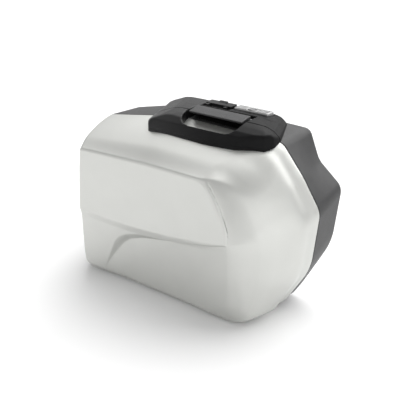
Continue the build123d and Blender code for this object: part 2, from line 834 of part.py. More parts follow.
with BuildPart() as claw_case:
    case_half = CLAW_WIDTH / 2 + 3
    case_back = BACK_Y - WALL
    cut_box(
        CLAW_X - case_half - 2.5,
        CLAW_X + case_half + 2.5,
        case_back - CASE_DEPTH,
        case_back,
        CLAW_Z - 28.5,
        CLAW_Z + 14.5,
        Mode.ADD,
    )
    cut_box(
        CLAW_X - case_half,
        CLAW_X + case_half,
        case_back - CASE_DEPTH + 2.5,
        case_back + 1,
        CLAW_Z - 26,
        CLAW_Z + 12,
    )
    rod(CLAW_X - 30, CLAW_X + 30, CLAW_Y, CLAW_Z, CLAW_ROD_R, Mode.SUBTRACT)
write(claw_case.part, "claw_case")

with BuildPart() as claw_rod:
    rod(CLAW_X - case_half - 2.5, CLAW_X + case_half + 2.5, CLAW_Y, CLAW_Z, CLAW_ROD_R)
write(claw_rod.part, "claw_rod")

with BuildPart() as carrier_claw:
    with BuildSketch(Plane.YZ.offset(CLAW_X)) as claw_side:
        with BuildLine():
            Polyline(
                (CLAW_Y - 5, CLAW_Z + 5),
                (CLAW_Y + 4, CLAW_Z + 5),
                (CLAW_Y + 5, CLAW_Z - 12),
                (BACK_Y + 2.0, CLAW_Z - 14),
                (BACK_Y + 2.0, CLAW_Z - 17),
                (CLAW_Y + 5, CLAW_Z - 22),
                (CLAW_Y - 3, CLAW_Z - 22),
                close=True,
            )
        make_face()
    extrude(claw_side.sketch, amount=CLAW_WIDTH / 2, both=True)
    rod(CLAW_X - 30, CLAW_X + 30, CLAW_Y, CLAW_Z, CLAW_ROD_R + RUN_CLEAR, Mode.SUBTRACT)
write(carrier_claw.part, "carrier_claw")

with BuildPart() as back_buffers:
    for buffer_x, buffer_z in BUFFER_PLACES:
        with Locations((buffer_x, BACK_Y + BUFFER_PROUD / 2, buffer_z)):
            Cylinder(BUFFER_R, BUFFER_PROUD, rotation=(90, 0, 0))
write(back_buffers.part, "back_buffers")

with BuildPart() as carrier_screws:
    # the upper middle screw stands beside the claw
    for screw_z, middle_x in ((PLATE_LOW + 14, 0.0), (PLATE_HIGH - 14, CLAW_X - 60)):
        for screw_x in (-PLATE_HALF + 14, middle_x, PLATE_HALF - 14):
            with Locations((screw_x, BACK_Y + PLATE_THICK + HEAD_HEIGHT / 2, screw_z)):
                Cylinder(SCREW_HEAD_R, HEAD_HEIGHT, rotation=(90, 0, 0))
            with Locations((screw_x, BACK_Y - 2.0 + PLATE_THICK / 2, screw_z)):
                Cylinder(SCREW_R, 4.0 + PLATE_THICK, rotation=(90, 0, 0))
write(carrier_screws.part, "carrier_screws")

# ---------------------------------------------------------------- luggage strap inside the base
strap_back = BACK_Y - WALL - 2.0
for side, way in (("left", -1), ("right", 1)):
    with BuildPart() as strap:
        inner_end, outer_end = sorted((way * BUCKLE_HALF, way * STRAP_REACH))
        cut_box(
            inner_end,
            outer_end,
            strap_back - STRAP_THICK,
            strap_back,
            STRAP_Z - STRAP_WIDTH / 2,
            STRAP_Z + STRAP_WIDTH / 2,
            Mode.ADD,
        )
    write(strap.part, f"luggage_strap_{side}")

with BuildPart() as strap_buckle:
    with BuildSketch(Plane.XZ.offset(-strap_back - 1.5)) as buckle_outline:
        with Locations((0, STRAP_Z)):
            RectangleRounded(2 * BUCKLE_HALF, STRAP_WIDTH + 10, 5)
    extrude(buckle_outline.sketch, amount=8.0)
write(strap_buckle.part, "strap_buckle")

with BuildPart() as strap_anchors:
    for way in (-1, 1):
        with BuildSketch(Plane.XZ.offset(-(BACK_Y - WALL))) as anchor_outline:
            with Locations((way * (STRAP_REACH + 11), STRAP_Z)):
                RectangleRounded(22, STRAP_WIDTH + 8, 4)
        extrude(anchor_outline.sketch, amount=5.0)
write(strap_anchors.part, "strap_anchors")
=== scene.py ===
"""Motorcycle side case: the looks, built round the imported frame.

Blender works in metres. Outlines and sizes below are in millimetres, in the frame's own axes, and
MM turns them into metres. +X runs towards the rounded nose, +Y towards the motorcycle, +Z up.
"""

import json
import math

import bmesh
import bpy
import numpy as np
from mathutils import Matrix, Vector


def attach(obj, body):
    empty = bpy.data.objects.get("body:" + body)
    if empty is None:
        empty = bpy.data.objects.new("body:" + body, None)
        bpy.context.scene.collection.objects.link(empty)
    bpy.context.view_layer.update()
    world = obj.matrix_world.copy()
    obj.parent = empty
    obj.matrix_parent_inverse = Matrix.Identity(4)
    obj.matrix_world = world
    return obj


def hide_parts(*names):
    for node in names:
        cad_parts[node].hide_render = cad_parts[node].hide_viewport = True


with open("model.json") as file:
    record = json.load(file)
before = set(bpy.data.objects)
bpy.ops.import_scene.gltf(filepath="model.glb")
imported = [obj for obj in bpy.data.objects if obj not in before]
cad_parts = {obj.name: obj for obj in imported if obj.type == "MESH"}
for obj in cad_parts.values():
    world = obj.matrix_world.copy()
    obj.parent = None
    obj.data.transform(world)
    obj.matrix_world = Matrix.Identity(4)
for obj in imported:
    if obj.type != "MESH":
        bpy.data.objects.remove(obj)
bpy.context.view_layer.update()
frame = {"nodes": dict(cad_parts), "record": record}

MM = 0.001
SEAM = 18.0
LID_DEPTH = 136.0
SHELL_DEPTH = 97.0
WALL = 3.0
# Half the gap between the shells at the seam, and the small bevel round each rim
GAP = 0.3
RIM_EDGE = 0.8

# ---------------------------------------------------------------- materials


def new_material(name):
    """A node material with nothing but its shader and its output."""
    made = bpy.data.materials.new(name)
    made.use_nodes = True
    tree = made.node_tree
    tree.nodes.clear()
    shader = tree.nodes.new("ShaderNodeBsdfPrincipled")
    output = tree.nodes.new("ShaderNodeOutputMaterial")
    tree.links.new(shader.outputs["BSDF"], output.inputs["Surface"])
    return made, tree, shader


def noise(tree, scale, detail=3.0):
    """A noise texture in the object's own metres."""
    place = tree.nodes.new("ShaderNodeTexCoord")
    made = tree.nodes.new("ShaderNodeTexNoise")
    made.inputs["Scale"].default_value = scale
    made.inputs["Detail"].default_value = detail
    tree.links.new(place.outputs["Object"], made.inputs["Vector"])
    return made.outputs["Fac"]


def ramp(tree, source, low, high, start=0.3, end=0.7):
    """A colour ramp between two tints."""
    made = tree.nodes.new("ShaderNodeValToRGB")
    made.color_ramp.elements[0].position = start
    made.color_ramp.elements[0].color = (*low, 1)
    made.color_ramp.elements[1].position = end
    made.color_ramp.elements[1].color = (*high, 1)
    tree.links.new(source, made.inputs["Fac"])
    return made.outputs["Color"]


def spread(tree, source, low, high, start=0.3, end=0.7):
    """A value mapped from between start and end to between low and high."""
    made = tree.nodes.new("ShaderNodeMapRange")
    for name, value in (("From Min", start), ("From Max", end), ("To Min", low), ("To Max", high)):
        made.inputs[name].default_value = value
    tree.links.new(source, made.inputs["Value"])
    return made.outputs["Result"]


def bumped(tree, shader, source, distance):
    """Raise a shader's surface by a value, over a distance in metres."""
    bump = tree.nodes.new("ShaderNodeBump")
    bump.inputs["Distance"].default_value = distance
    tree.links.new(source, bump.inputs["Height"])
    tree.links.new(bump.outputs["Normal"], shader.inputs["Normal"])


def moulded(name, tint, roughness, grain, height, wear=0, metallic=0, coat=0, spread_by=0.12, shine=0.5):
    """Moulded, painted or plated surface: fine grain, uneven roughness and rubbed edges."""
    made, tree, shader = new_material(name)
    tint = np.array(tint)
    fine = noise(tree, grain, 4.0)
    broad = noise(tree, grain / 40.0, 2.0)
    colour = ramp(tree, broad, tint * (1 - spread_by), np.minimum(tint * (1 + spread_by), 1))
    if wear:
        edges = tree.nodes.new("ShaderNodeNewGeometry")
        rubbed = ramp(tree, edges.outputs["Pointiness"], (0, 0, 0), (wear,) * 3, 0.52, 0.62)
        mix = tree.nodes.new("ShaderNodeMix")
        mix.data_type = "RGBA"
        mix.inputs["B"].default_value = (*np.minimum(tint * 1.8 + 0.05, 1), 1)
        tree.links.new(rubbed, mix.inputs["Factor"])
        tree.links.new(colour, mix.inputs["A"])
        colour = mix.outputs["Result"]
    tree.links.new(colour, shader.inputs["Base Color"])
    tree.links.new(spread(tree, fine, roughness - 0.06, roughness + 0.06), shader.inputs["Roughness"])
    bumped(tree, shader, fine, height)
    shader.inputs["Metallic"].default_value = metallic
    shader.inputs["Specular IOR Level"].default_value = shine
    shader.inputs["Coat Weight"].default_value = coat
    shader.inputs["Coat Roughness"].default_value = 0.3
    return made


# Width of one band of a wave texture at scale 1
WAVE_BAND = 0.314


def woven(name, tint, thread):
    """Woven strap: crossed threads a given number of metres apart, with a soft sheen."""
    made, tree, shader = new_material(name)
    place = tree.nodes.new("ShaderNodeTexCoord")
    heights = []
    for direction in ("X", "Z"):
        wave = tree.nodes.new("ShaderNodeTexWave")
        wave.bands_direction = direction
        wave.inputs["Scale"].default_value = WAVE_BAND / thread
        wave.inputs["Distortion"].default_value = 0.4
        tree.links.new(place.outputs["Object"], wave.inputs["Vector"])
        heights.append(wave.outputs["Fac"])
    weave = tree.nodes.new("ShaderNodeMath")
    weave.operation = "MULTIPLY"
    tree.links.new(heights[0], weave.inputs[0])
    tree.links.new(heights[1], weave.inputs[1])
    tint = np.array(tint)
    colour = ramp(tree, weave.outputs["Value"], tint * 0.6, tint * 1.6, 0.0, 0.8)
    tree.links.new(colour, shader.inputs["Base Color"])
    tree.links.new(spread(tree, noise(tree, 600), 0.75, 0.95), shader.inputs["Roughness"])
    bumped(tree, shader, weave.outputs["Value"], 0.0004)
    shader.inputs["Sheen Weight"].default_value = 0.3
    return made


def fade_shine(material, start, end, near, far):
    """Let a material's shine change along X from near to far, between two places in metres."""
    tree = material.node_tree
    place = tree.nodes.new("ShaderNodeTexCoord")
    split = tree.nodes.new("ShaderNodeSeparateXYZ")
    tree.links.new(place.outputs["Object"], split.inputs["Vector"])
    faded = spread(tree, split.outputs["X"], near, far, start, end)
    faded.node.interpolation_type = "SMOOTHSTEP"
    shader = next(node for node in tree.nodes if node.type == "BSDF_PRINCIPLED")
    tree.links.new(faded, shader.inputs["Specular IOR Level"])


LID_PAINT = moulded(
    "lid_paint", (0.59, 0.595, 0.572), 0.40, 900, 0.00002, metallic=0.7, coat=0.1, spread_by=0.01
)
BASE_PLASTIC = moulded("base_plastic", (0.036, 0.036, 0.037), 0.5, 1500, 0.00008, wear=0.25, shine=0.4)
HANDLE_PLASTIC = moulded("handle_plastic", (0.008, 0.008, 0.0083), 0.40, 1500, 0.00008, wear=0.2, shine=0.2)
# Painted shade: the handle's shine fades from its left end to its right, so its right end looks darker as if
# the light fell from the left
fade_shine(HANDLE_PLASTIC, -0.08, 0.10, 0.27, 0.07)
BAR_PLASTIC = moulded("bar_plastic", (0.03, 0.03, 0.031), 0.42, 1500, 0.00008, wear=0.2, shine=0.3)
LINING_PLASTIC = moulded("lining_plastic", (0.10, 0.10, 0.102), 0.6, 1100, 0.0001, shine=0.3)
RUBBER = moulded("rubber", (0.018, 0.018, 0.018), 0.75, 1200, 0.0001)
LOCK_METAL = moulded("lock_metal", (0.30, 0.30, 0.30), 0.40, 1800, 0.00002, metallic=0.9, wear=0.2)
STEEL = moulded("steel", (0.40, 0.40, 0.41), 0.36, 1500, 0.00002, metallic=1.0)
BLACK_STEEL = moulded("black_steel", (0.03, 0.03, 0.032), 0.45, 1400, 0.00004, wear=0.3)
WEBBING = woven("webbing", (0.03, 0.03, 0.034), 0.0016)
THREAD = woven("strap_thread", (0.16, 0.16, 0.17), 0.0008)
BY_SLOT = {
    "lid_paint": LID_PAINT,
    "base_plastic": BASE_PLASTIC,
    "handle_plastic": HANDLE_PLASTIC,
    "rubber": RUBBER,
    "lock_metal": LOCK_METAL,
    "steel": STEEL,
    "black_steel": BLACK_STEEL,
    "webbing": WEBBING,
}
for part in frame["record"]["subparts"]:
    for socket in frame["nodes"][part["node"]].material_slots:
        socket.material = BY_SLOT[part["material_slot"]]

# The CAD nodes whose hard edges are broken, by the edge's width in millimetres
BROKEN_EDGES = {
    0.3: ("base_hinge_screws", "lid_hinge_screws", "base_hinge_leaf_left", "base_hinge_leaf_right",
          "lid_hinge_leaf_left", "lid_hinge_leaf_right", "lock_cam"),
    0.4: ("lock_plug", "carrier_plate", "carrier_screws", "latch_hook_left", "latch_hook_right",
          "striker_left", "striker_right"),
    0.5: ("thumb_lever", "carrier_claw"),
    0.6: ("claw_case", "finger_well"),
    0.8: ("base_feet", "lid_feet", "carrier_socket_left", "carrier_socket_right"),
    1.0: ("back_buffers",),
}
for width, names in BROKEN_EDGES.items():
    for name in names:
        broken = frame["nodes"][name].modifiers.new("edges", "BEVEL")
        broken.width = width * MM
        broken.segments = 3
        broken.limit_method = "ANGLE"
        broken.angle_limit = math.radians(40)

# ---------------------------------------------------------------- outlines of the shells

# Corners as (x, z, corner radius), counted round from the bottom left
SEAM_OUTLINE = np.array([
    (-258, 9, 34), (-286, 130, 150), (-279, 270, 60), (-243, 325, 16), (-40, 358, 300),
    (200, 352, 26), (246, 298, 200), (286, 238, 40), (275, 118, 130), (214, 9, 60),
], float)
FRONT_OUTLINE = np.array([
    (-222, 3, 16), (-213, 130, 150), (-207, 245, 60), (-204, 290, 8), (-20, 298, 300),
    (146, 300, 66), (180, 244, 190), (203, 188, 60), (199, 110, 130), (186, 3, 60),
], float)
BACK_OUTLINE = np.array([
    (-240, 3, 30), (-280, 130, 150), (-276, 262, 60), (-248, 320, 18), (-40, 366, 300),
    (205, 358, 18), (228, 300, 30), (281, 258, 26), (270, 140, 150), (202, 3, 50),
], float)
BOTTOM = (0, 9)
# How each lid corner travels from the seam to the front
LID_PULL = np.array([1.8, 1.8, 1.8, 1.8, 1.0, 2.0, 2.0, 2.0, 2.0, 2.0])
LID_SWELL = np.array([0, 0, 0, 0, 0, 62, 0, 70, 0, 0], float)
TOP_CORNERS = (3, 4, 5)
TOP_PULL = 1.12
# Spacing of the shells' points along their outline, and of the outlines that those are read from
POINT_STEP = 1.9
OUTLINE_STEP = 0.4
ARC_POINTS = 40
# The outlines that a wall is read between, from the seam to its full depth
WALL_LAYERS = 69


def step(x, start, end):
    """Smooth rise from 0 at start to 1 at end."""
    t = np.clip((x - start) / (end - start), 0, 1)
    return t * t * (3 - 2 * t)


def bottom_height(depth, toe_rise):
    """Height of the underside: hinge channel at the rim, sole, then the rounded toe."""
    sole = 9 - 6 * np.clip((depth - 26) / 12, 0, 1)
    return sole + toe_rise * np.clip((depth - 85) / 51, 0, 1) ** 2


def rounded(corners):
    """Closely spaced points round an outline with arcs at its corners."""
    points = []
    size = len(corners)
    for i, (x, z, radius) in enumerate(corners):
        here = np.array((x, z))
        back = corners[i - 1][:2] - here
        ahead = corners[(i + 1) % size][:2] - here
        back /= np.linalg.norm(back)
        ahead /= np.linalg.norm(ahead)
        half = math.acos(np.clip(back @ ahead, -1, 1)) / 2
        middle = here + (back + ahead) / np.linalg.norm(back + ahead) * radius / math.sin(half)
        spokes = [here + way * radius / math.tan(half) - middle for way in (back, ahead)]
        start, end = (math.atan2(spoke[1], spoke[0]) for spoke in spokes)
        turn = (end - start + math.pi) % (2 * math.pi) - math.pi
        for t in np.linspace(0, 1, ARC_POINTS):
            angle = start + turn * t
            points.append(middle + radius * np.array((math.cos(angle), math.sin(angle))))
    return np.array(points)


# Where the bearings of the outlines' points are taken from
HEART = np.array((0.0, 170.0))


def bearings_and_reach(points):
    """Angle and distance of points from the heart of the outlines, sorted by angle."""
    away = points - HEART
    angles = np.arctan2(away[:, 1], away[:, 0])
    order = np.argsort(angles)
    return angles[order], np.linalg.norm(away, axis=1)[order]


def closed_line(points, step_length):
    """Points evenly spaced along a closed line."""
    loop = np.vstack([points, points[:1]])
    run = np.concatenate([[0], np.cumsum(np.linalg.norm(np.diff(loop, axis=0), axis=1))])
    places = np.arange(0, run[-1], step_length)
    return np.stack([np.interp(places, run, loop[:, k]) for k in (0, 1)], 1)


def along_bearings(points, bearings):
    """An outline's points in the given directions from the heart, clockwise."""
    angles, reach = bearings_and_reach(closed_line(points, OUTLINE_STEP))
    far = np.interp(bearings, angles, reach, period=2 * math.pi)
    return HEART + np.stack([np.cos(bearings), np.sin(bearings)], 1) * far[:, None]


def lid_corners(depth):
    """The lid's outline corners at a depth in front of the seam."""
    t = depth / LID_DEPTH
    corners = SEAM_OUTLINE + (FRONT_OUTLINE - SEAM_OUTLINE) * t
    corners[:, 0] = SEAM_OUTLINE[:, 0] + (FRONT_OUTLINE - SEAM_OUTLINE)[:, 0] * t**LID_PULL
    corners[list(TOP_CORNERS), 1] += (FRONT_OUTLINE - SEAM_OUTLINE)[list(TOP_CORNERS), 1] * (t**TOP_PULL - t)
    corners[:, 2] += LID_SWELL * step(depth, 6, 66) * (1 - step(depth, 90, LID_DEPTH))
    corners[list(BOTTOM), 1] = bottom_height(depth, 9.0)
    return corners


def base_corners(depth):
    """The base's outline corners at a depth behind the seam."""
    corners = SEAM_OUTLINE + (BACK_OUTLINE - SEAM_OUTLINE) * depth / SHELL_DEPTH
    corners[list(BOTTOM), 1] = bottom_height(depth, 0.0)
    return corners


middle_outline = rounded((SEAM_OUTLINE + FRONT_OUTLINE) / 2)
BEARINGS = bearings_and_reach(closed_line(middle_outline, POINT_STEP))[0][::-1]


def normals(ring):
    """Outward direction of a closed ring of points in its own plane."""
    along = np.roll(ring, -1, 0) - np.roll(ring, 1, 0)
    along /= np.maximum(np.linalg.norm(along, axis=1), 1e-9)[:, None]
    return np.stack([-along[:, 1], along[:, 0]], 1)


class Wall:
    """The side wall of a shell: its outline at any depth, point by point."""

    def __init__(self, corners_at, depth):
        self.depths = np.linspace(0, depth, WALL_LAYERS)
        self.rings = np.array([along_bearings(rounded(corners_at(d)), BEARINGS) for d in self.depths])
        self.out = np.array([normals(r) for r in self.rings])

    def at(self, depth, inset):
        """Points at a depth and an inset, each one number or one per point, as x, depth, z."""
        count = self.rings.shape[1]
        depth = np.broadcast_to(depth, count)
        place = np.clip(depth / self.depths[-1], 0, 1) * (len(self.depths) - 1)
        low = np.minimum(place.astype(int), len(self.depths) - 2)
        share = (place - low)[:, None]
        index = np.arange(count)
        flat = self.rings[low, index] * (1 - share) + self.rings[low + 1, index] * share
        out = self.out[low, index] * (1 - share) + self.out[low + 1, index] * share
        flat = flat - out * np.broadcast_to(inset, count)[:, None]
        return np.stack([flat[:, 0], depth, flat[:, 1]], 1)


def shrink_to(ring, centre, steps):
    """Rings that draw a closing ring in to a centre point."""
    return [centre + (ring - centre) * (1 - k / steps) for k in range(1, steps)]


def mesh_object(name, vertices, faces, material):
    """A smooth mesh object in metres from vertices in millimetres."""
    mesh = bpy.data.meshes.new(name)
    mesh.from_pydata((np.asarray(vertices) * MM).tolist(), [], faces)
    mesh.validate()
    made = bpy.data.objects.new(name, mesh)
    bpy.context.scene.collection.objects.link(made)
    mesh.materials.append(material)
    mesh.polygons.foreach_set("use_smooth", [True] * len(mesh.polygons))
    return made


def face_outward(mesh):
    """Turn a closed mesh's faces outward."""
    work = bmesh.new()
    work.from_mesh(mesh)
    bmesh.ops.recalc_face_normals(work, faces=work.faces)
    work.to_mesh(mesh)
    work.free()


def ring_faces(first, count, rings, closed):
    """Faces between rings of count vertices, joined end to end if closed and capped if not."""
    faces = []
    for i in range(rings if closed else rings - 1):
        here = first + i * count
        there = first + (i + 1) % rings * count
        for k in range(count):
            j = (k + 1) % count
            faces.append((here + k, here + j, there + j, there + k))
    if not closed:
        faces.append(tuple(range(first, first + count)))
        faces.append(tuple(range(first + (rings - 1) * count, first + rings * count)))
    return faces


def placed(piece, body, slot, *nodes):
    """Let a piece ride on a body and stand for CAD nodes; the slot is not used."""
    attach(piece, body)
    if nodes:
        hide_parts(*nodes)


def shell_object(name, rings, material, tip_outer, tip_inner):
    """A closed shell: rings run from the inside tip to the rim and back to the outside tip."""
    count = len(rings[0])
    vertices = [tip_inner] + [p for ring in rings for p in ring] + [tip_outer]
    last = len(vertices) - 1
    faces = []
    for i in range(count):
        j = (i + 1) % count
        faces.append((0, 1 + i, 1 + j))
        faces.append((last, last - count + j, last - count + i))
        for k in range(len(rings) - 1):
            a = 1 + k * count
            b = a + count
            faces.append((a + i, b + i, b + j, a + j))
    return mesh_object(name, vertices, faces, material)


# ---------------------------------------------------------------- the lid

# The raised panel's lower edge: at each x, the z of its top and foot and how far it stands out
SWOOSH_X = [-160, -151, -138, -117, -100, -81, -43, -5, 37, 88, 138, 174, 400]
SWOOSH_TOP = [20, 41, 68, 108, 123, 134, 145, 150, 156, 168, 180, 192, 192]
SWOOSH_FOOT = [18, 36, 55, 81, 100, 116, 131, 141, 152, 165, 177, 189, 189]
SWOOSH_STEP = [0, 0, 4, 8, 9, 9, 9, 8, 6, 3.5, 2, 1.2, 1.2]
# The panel's right edge: where it starts to lean back, and how fast
PANEL_RIGHT = 176.0
LEAN_Z = 205.0
LEAN = 0.0861
LEAN_POWER = 1.41
# The groove beside that edge, as depth and half width
PANEL_GROOVE = 2.1
GROOVE_HALF = 1.3
# Where the front's rings close
FRONT_MIDDLE = np.array((-10.0, 0.0, 150.0))
# How many rings the sides, the rounding to the front and the front have, outside and inside
SIDE_RINGS, INNER_SIDE_RINGS = 46, 24
EDGE_RINGS, INNER_EDGE_RINGS = 41, 8
CAP_RINGS, INNER_CAP_RINGS = 160, 60


def smooth_table(places, values, reach):
    """Values read between places along a curve without kinks."""
    fine = np.arange(-320.0, 420.0)
    kernel = np.hanning(2 * reach + 1)
    padded = np.pad(np.interp(fine, places, values), reach, mode="edge")
    return fine, np.convolve(padded, kernel / kernel.sum(), "valid")


TOP_LINE = smooth_table(SWOOSH_X, SWOOSH_TOP, 6)
FOOT_LINE = smooth_table(SWOOSH_X, SWOOSH_FOOT, 6)
STEP_LINE = smooth_table(SWOOSH_X, SWOOSH_STEP, 26)


def front_relief(x, z, groove=0.0):
    """How far the lid's front stands out from its flat, with a groove along the panel's right edge."""
    # the front leans back above and below a ridge that rises towards the nose
    ridge = 164 + 0.0906 * (x + 14) + 0.00031 * (x + 14) ** 2
    above = np.maximum(z - ridge, 0)
    below = np.maximum(ridge - z, 0)
    lean_in = 0.45 + 0.55 * step(x, -225, -90) + 0.3 * step(x, -120, 60) * step(x, 204, 178)
    form = 2.0 - above * 0.06 - below * 0.10 * lean_in
    form -= 3.5 * step(below, 0, 20) * step(x, 190, 60)
    # past the panel's right edge the front falls away a little
    rise = np.maximum(z - LEAN_Z, 0)
    slant = LEAN * LEAN_POWER * rise ** (LEAN_POWER - 1)
    past_edge = (x - PANEL_RIGHT + LEAN * rise**LEAN_POWER) / np.sqrt(1 + slant**2)
    past = np.maximum(past_edge, 0)
    form -= 0.0045 * past**2 / (1 + (past / 45) ** 2)
    form -= groove * np.exp(-((past_edge / GROOVE_HALF - 1) ** 2)) * step(z, 190, 214) * step(z, 302, 288)
    # outside the panel the front is a step lower, and the step fades at its top and towards the ground
    foot = np.interp(x, *FOOT_LINE)
    panel = step(z, foot, np.interp(x, *TOP_LINE)) * step(past_edge, GROOVE_HALF, 0)
    fall = np.clip((foot - z) / np.maximum(foot - 5, 1), 0, 1)
    return form - np.interp(x, *STEP_LINE) * step(z, 305, 240) * (1 - panel) * (1 - 0.8 * fall)


lid_wall = Wall(lid_corners, LID_DEPTH)
# The radius between the sides and the front, point by point, and how far each point is to the right
edge_line = lid_wall.at(LID_DEPTH, 0.0)
to_nose = step(edge_line[:, 0], 100, 168)
round_by = 4.5 + 24 * to_nose + 6 * step(edge_line[:, 2], 60, 15) * (1 - to_nose)
right_side = step(lid_wall.at(0.0, 0.0)[:, 0], 130, 235)


def lid_ring(depth, inset, groove=0.0):
    """One ring of the lid with the rim's soft valley and the front's relief, in the frame's axes."""
    dip = 2.2 * np.exp(-(((depth - 22) / 11) ** 2)) * right_side
    ring = lid_wall.at(depth, inset + dip)
    share = step(ring[:, 1], LID_DEPTH - 48, LID_DEPTH)
    relief = front_relief(ring[:, 0], ring[:, 2], groove / np.maximum(share, 0.4))
    return np.stack([ring[:, 0], SEAM - ring[:, 1] - relief * share, ring[:, 2]], 1)


def lid_outer_rings():
    """The lid's outside from the rim to the edge of its front."""
    start = LID_DEPTH - round_by
    rings = [lid_ring(np.full_like(start, GAP), RIM_EDGE)]
    for t in np.linspace(0, 1, SIDE_RINGS):
        rings.append(lid_ring(GAP + RIM_EDGE + (start - GAP - RIM_EDGE) * t, 0.0))
    for angle in np.linspace(0, math.pi / 2, EDGE_RINGS)[1:]:
        depth = start + round_by * math.sin(angle)
        rings.append(lid_ring(depth, round_by * (1 - math.cos(angle)), PANEL_GROOVE))
    return rings


def lid_inner_rings():
    """The lid's inside from its floor to the rim, a wall's thickness within the outside."""
    start = LID_DEPTH - round_by
    corner = round_by - WALL
    rings = []
    for angle in np.linspace(math.pi / 2, 0, INNER_EDGE_RINGS):
        rings.append(lid_ring(start + corner * math.sin(angle), WALL + corner * (1 - math.cos(angle))))
    for t in np.linspace(1, 0, INNER_SIDE_RINGS)[1:]:
        rings.append(lid_ring(GAP + (start - GAP) * t, WALL))
    return rings


def front_rings(edge, steps, behind=0.0, groove=0.0):
    """Rings over the lid's front or behind it, drawn in to its middle and lifted by the relief."""
    rings = shrink_to(edge, FRONT_MIDDLE, steps)
    for ring in rings:
        ring[:, 1] = SEAM - LID_DEPTH + behind - front_relief(ring[:, 0], ring[:, 2], groove)
    tip = FRONT_MIDDLE.copy()
    tip[1] = SEAM - LID_DEPTH + behind - front_relief(tip[0], tip[2])
    return rings, tip


def build_lid():
    """The painted lid as one closed shell."""
    outer = lid_outer_rings()
    cap, tip = front_rings(outer[-1], CAP_RINGS, groove=PANEL_GROOVE)
    inside = lid_inner_rings()
    # the lining has no groove, and keeps clear of the one outside
    lining_cap, lining_tip = front_rings(inside[0], INNER_CAP_RINGS, WALL + 1.0)
    lining = lining_cap[::-1] + inside
    made = shell_object("lid_skin", lining + outer + cap, LID_PAINT, tip, lining_tip)
    # only the outside is painted
    made.data.materials.append(LINING_PLASTIC)
    painted_from = 1 + len(lining) * len(inside[0])
    for polygon in made.data.polygons:
        polygon.material_index = int(max(polygon.vertices) < painted_from)
    placed(made, "lid", "lid_paint", "lid_shell")


build_lid()

# ---------------------------------------------------------------- the base


base_wall = Wall(base_corners, SHELL_DEPTH)
# The slope of the lower back starts at this height and comes forward by this much at the ground
TAPER_Z = 130.0
TAPER = 30.0
# The radius between the sides and the back, outside and inside
BACK_ROUNDING, FLOOR_ROUNDING = 12.0, 10.0
# How many rings the sides, the rounding and the back have, outside and inside
BASE_SIDE_RINGS, BASE_INNER_RINGS = 34, 24
BASE_EDGE_RINGS = 12
BACK_RINGS, INNER_BACK_RINGS = 110, 20
BACK_Y = SEAM + SHELL_DEPTH
# The holes in the base, each a middle, a half size and a corner radius
BASE_HOLES = {
    "finger_well": ((61.5, SEAM + 23.0, 350), (66.5, 10.0, 25), 2.0),
    "claw": ((30, BACK_Y, 315), (21.0, 6.0, 19.0), 2.0),
    "socket_left": ((-120, BACK_Y, 185), (14.0, 6.0, 14.0), 13.9),
    "socket_right": ((120, BACK_Y, 185), (14.0, 6.0, 14.0), 13.9),
}


def tapered(ring, offset):
    """Hold a ring of the base in front of the slope that cuts its lower back."""
    back = BACK_Y - offset - TAPER * np.clip((TAPER_Z - ring[:, 2]) / TAPER_Z, 0, 2)
    ring[:, 1] = np.minimum(ring[:, 1], back)
    return ring


def back_flutes(ring):
    """Press shallow upright flutes into the lower back of the base."""
    x, z = ring[:, 0], ring[:, 2]
    across = np.abs((x + 14.0) % 44.0 - 22.0)
    reach = step(np.abs(x + 8.0), 205, 190) * step(z, 28, 40) * step(z, 124, 112)
    ring[:, 1] -= 2.0 * step(across, 7.5, 4.0) * reach
    return ring


def cut_holes(shell, holes):
    """Cut round-cornered holes through a shell, each along its shortest side."""
    for middle, half, radius in holes:
        flat = min(range(3), key=lambda k: half[k])
        u, v = [k for k in range(3) if k != flat]
        loop = []
        for cu, cv, start in ((1, 1, 0), (-1, 1, 90), (-1, -1, 180), (1, -1, 270)):
            for angle in np.radians(np.linspace(start, start + 90, 12)):
                point = np.array(middle, float)
                point[u] += cu * (half[u] - radius) + radius * math.cos(angle)
                point[v] += cv * (half[v] - radius) + radius * math.sin(angle)
                loop.append(point)
        loop = np.array(loop)
        push = np.zeros(3)
        push[flat] = half[flat]
        faces = ring_faces(0, len(loop), 2, closed=False)
        cutter = mesh_object("cutter", np.vstack([loop - push, loop + push]), faces, BASE_PLASTIC)
        face_outward(cutter.data)
        cut = shell.modifiers.new("cut", "BOOLEAN")
        cut.object = cutter
        cut.solver = "EXACT"
        graph = bpy.context.evaluated_depsgraph_get()
        finished = bpy.data.meshes.new_from_object(shell.evaluated_get(graph))
        shell.modifiers.clear()
        shell.data = finished
        bpy.data.objects.remove(cutter)


def base_outer_rings():
    """The base's outside from the rim to the edge of its back."""
    flat_from = SHELL_DEPTH - BACK_ROUNDING
    places = [(GAP, RIM_EDGE)]
    places += [(depth, 0.0) for depth in np.linspace(GAP + RIM_EDGE, flat_from, BASE_SIDE_RINGS)]
    for angle in np.linspace(0, math.pi / 2, BASE_EDGE_RINGS)[1:]:
        places.append((flat_from + BACK_ROUNDING * math.sin(angle), BACK_ROUNDING * (1 - math.cos(angle))))
    return [tapered(base_wall.at(depth, inset) + (0, SEAM, 0), 0.0) for depth, inset in places]


def base_inner_rings():
    """The base's inside from its floor to the rim, rounded over the last tenth of its depth."""
    rings = []
    for t in np.linspace(1, 0, BASE_INNER_RINGS):
        into_corner = max(0, (t - 0.9) / 0.1)
        inset = WALL + FLOOR_ROUNDING * (1 - math.sqrt(max(0, 1 - into_corner**2)))
        ring = base_wall.at(GAP + (SHELL_DEPTH - WALL - GAP) * t, inset)
        rings.append(tapered(ring + (0, SEAM, 0), WALL))
    return rings


def flattened(ring, y):
    """A ring moved onto the upright plane at y."""
    return ring * (1, 0, 1) + (0, y, 0)


